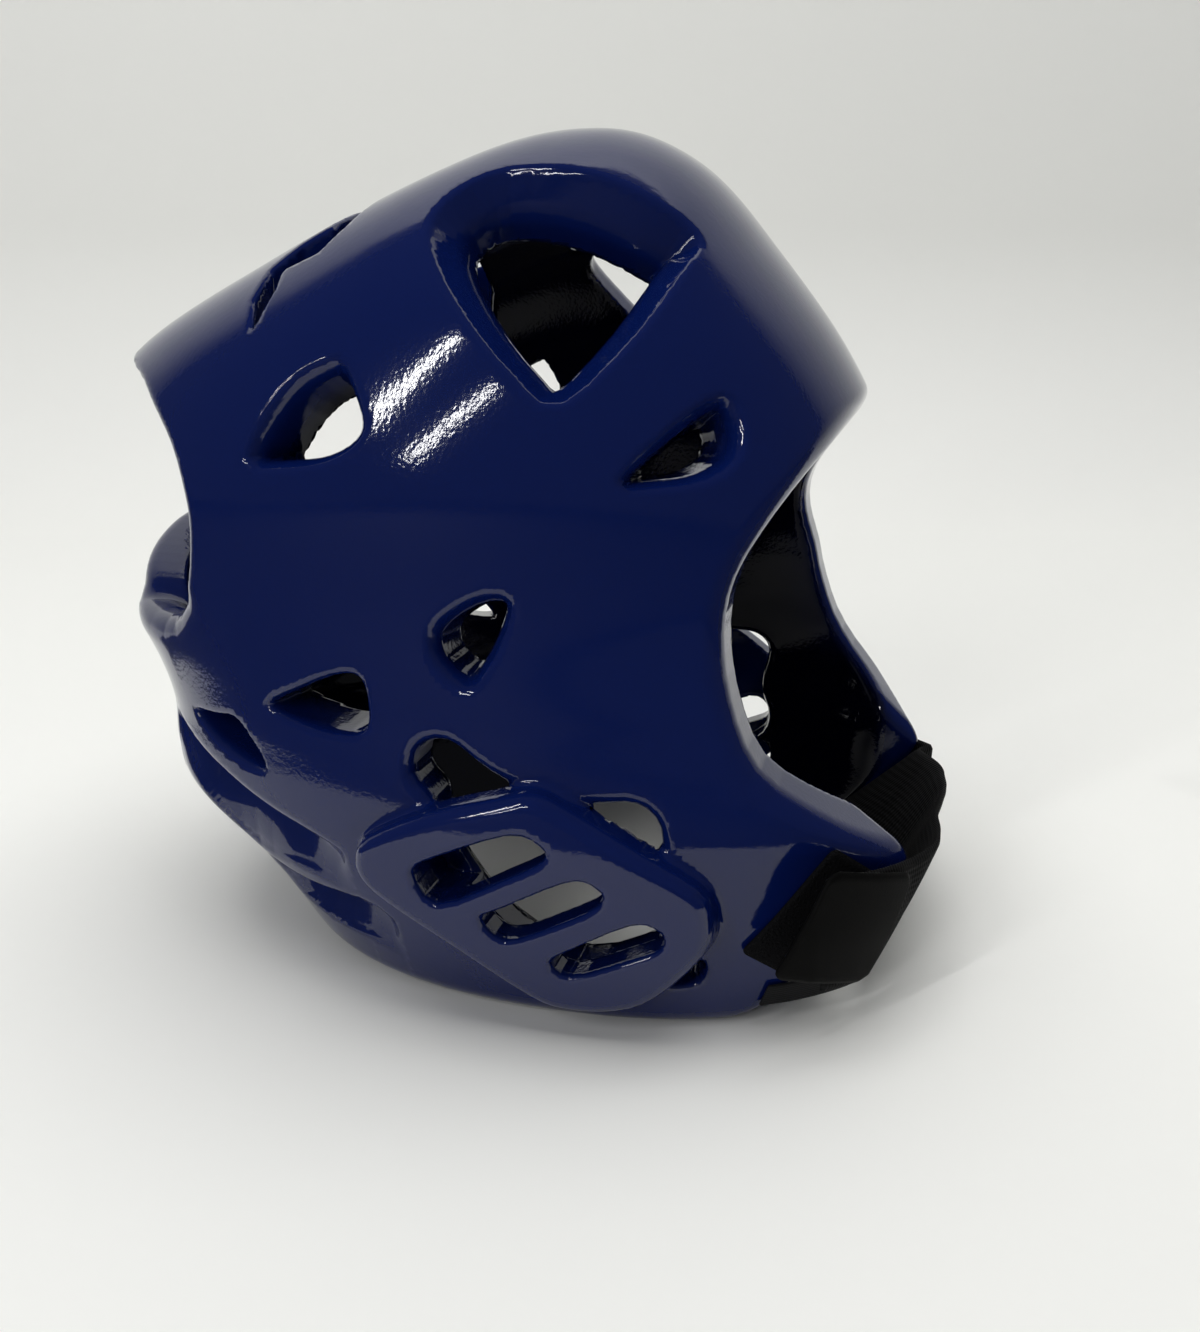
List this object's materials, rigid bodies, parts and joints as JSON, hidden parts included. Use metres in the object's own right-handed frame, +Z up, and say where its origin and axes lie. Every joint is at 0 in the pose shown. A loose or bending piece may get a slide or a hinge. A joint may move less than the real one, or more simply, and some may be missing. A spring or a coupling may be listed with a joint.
{
  "type": "taekwondo headgear",
  "caption": "One-piece dipped foam martial arts head guard with ear covers, vents, an open face and a hook-and-loop chin strap.",
  "frame": {"origin": "middle of the bounding box at the bottom rim's level", "axes": "+Z up, the face opening looks toward -Y, the wearer's left is +X"},
  "size_m": [0.2176, 0.2774, 0.2399],
  "materials": {
    "foam": "glossy dipped skin",
    "loop": "fuzzy loop",
    "webbing": "woven elastic",
    "panel": "matt panel",
    "label": "woven label",
    "anchor": "woven patch"
  },
  "bodies": {
    "root": {"shell": "foam", "loop_patch": "loop", "chin_strap": "webbing", "closure_tab": "panel", "size_tab": "label", "strap_anchor": "anchor"}
  },
  "joints": []
}
